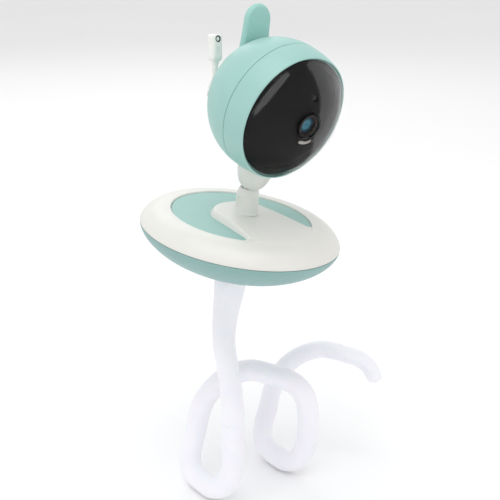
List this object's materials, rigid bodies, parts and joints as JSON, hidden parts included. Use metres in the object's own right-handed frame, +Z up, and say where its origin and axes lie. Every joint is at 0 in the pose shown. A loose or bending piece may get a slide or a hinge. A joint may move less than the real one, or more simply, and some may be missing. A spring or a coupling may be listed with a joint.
{
  "type": "baby monitor camera",
  "caption": "Round tilting camera head on a weighted oval base, carried by a bendable silicone arm wound round a cot rail.",
  "frame": {"origin": "centre of the rail space inside the arm's winding", "axes": "+X along the rail, -Y to the side that the camera looks to, +Z up; the base leans 4.5 degrees forward and 4.8 degrees sideways and is turned 9.4 degrees about the arm, as posed"},
  "size_m": [0.1648, 0.133, 0.3231],
  "materials": {
    "mint_shell": "fine matte moulded mint green",
    "mint_antenna": "fine matte moulded mint green, a little darker",
    "mint_bowl": "fine matte moulded mint green",
    "mint_inlay": "satin mint green inlay",
    "white_shell": "satin warm white",
    "neck_white": "satin cool white, slightly translucent",
    "smoked_cover": "glossy smoked black window",
    "lens_glass": "coated lens glass",
    "black_plastic": "satin black",
    "circuit_board": "green solder mask",
    "led_clear": "clear moulded resin",
    "steel": "plain steel",
    "brass": "turned brass",
    "acetal": "natural acetal",
    "rubber": "black rubber",
    "arm_silicone": "satin white silicone",
    "sensor_white": "satin white overmould"
  },
  "bodies": {
    "arm_wrap": {"arm_sleeve_wrap": "arm_silicone", "arm_core_wrap": "steel"},
    "arm_tail": {"arm_sleeve_tail": "arm_silicone", "arm_core_tail": "steel"},
    "arm_upright": {"arm_sleeve_upright": "arm_silicone", "arm_core_upright": "steel"},
    "base": {"arm_head": "arm_silicone", "arm_stud": "steel", "base_top_shell": "white_shell", "stem": "neck_white", "stem_screw": "steel", "base_inlay": "mint_inlay", "base_bottom_shell": "mint_bowl", "base_weight": "steel", "threaded_insert": "brass", "rubber_foot_1": "rubber", "rubber_foot_2": "rubber", "rubber_foot_3": "rubber", "base_screw_1": "steel", "base_screw_2": "steel", "base_screw_3": "steel", "base_screw_4": "steel"},
    "neck_seat": {"ball_seat": "acetal"},
    "antenna": {"antenna_paddle": "mint_antenna"},
    "sensor": {"sensor_tail": "sensor_white", "sensor_probe": "sensor_white", "thermistor": "black_plastic"},
    "button": {"pair_button": "white_shell"},
    "head": {"front_shell": "mint_shell", "rear_shell": "mint_shell", "front_cover": "smoked_cover", "lens_bezel": "black_plastic", "lens_glass": "lens_glass", "lens_barrel": "black_plastic", "image_sensor_board": "circuit_board", "infrared_board": "circuit_board", "infrared_led_1": "led_clear", "infrared_led_2": "led_clear", "infrared_led_3": "led_clear", "infrared_led_4": "led_clear", "light_sensor": "led_clear", "front_mask": "black_plastic", "status_light_pipe": "led_clear", "microphone": "steel", "inner_chassis": "black_plastic", "head_screw_1": "steel", "head_screw_2": "steel", "head_screw_3": "steel", "main_board": "circuit_board", "wifi_shield": "steel", "speaker": "black_plastic", "power_inlet": "steel", "tact_switch": "black_plastic", "antenna_pin": "steel", "antenna_cradle": "black_plastic", "sensor_gland": "sensor_white", "neck_collar": "neck_white", "ball_stud": "steel", "stud_nut": "steel"}
  },
  "joints": [
    {"name": "arm_bend_lower", "type": "hinge", "parent": "arm_wrap", "child": "arm_upright", "pos_m": [-0.04458, -0.01048, 0.05139], "axis": [1, 0, 0], "range_deg": [-25, 25]},
    {"name": "arm_bend_upper", "type": "hinge", "parent": "arm_upright", "child": "base", "pos_m": [-0.03661, 0.00269, 0.09868], "axis": [0, 1, 0], "range_deg": [-22, 22]},
    {"name": "arm_tail_bend", "type": "hinge", "parent": "arm_wrap", "child": "arm_tail", "pos_m": [0.03183, 0.01715, 0.02971], "axis": [-0.4417, -0.8971, 0], "range_deg": [0, 45]},
    {"name": "head_pan", "type": "hinge", "parent": "base", "child": "neck_seat", "pos_m": [-0.02697, -0.00537, 0.16753], "axis": [0.0951, -0.0638, 0.9934], "range_deg": [-170, 170]},
    {"name": "head_tilt", "type": "hinge", "parent": "neck_seat", "child": "head", "pos_m": [-0.02697, -0.00537, 0.16753], "axis": [0.9831, 0.1628, -0.0837], "range_deg": [-30, 15]},
    {"name": "antenna_fold", "type": "hinge", "parent": "head", "child": "antenna", "pos_m": [-0.02102, 0.00013, 0.2482], "axis": [-0.9831, -0.1628, 0.0837], "range_deg": [0, 75]},
    {"name": "sensor_flex", "type": "hinge", "parent": "head", "child": "sensor", "pos_m": [-0.04105, 0.01617, 0.22928], "axis": [0.9831, 0.1628, -0.0837], "range_deg": [-40, 5]},
    {"name": "pair_button_press", "type": "slide", "parent": "head", "child": "button", "axis": [0.1329, -0.9494, -0.2847], "range_m": [0, 0.0008], "stiffness_N_per_m": 500}
  ]
}
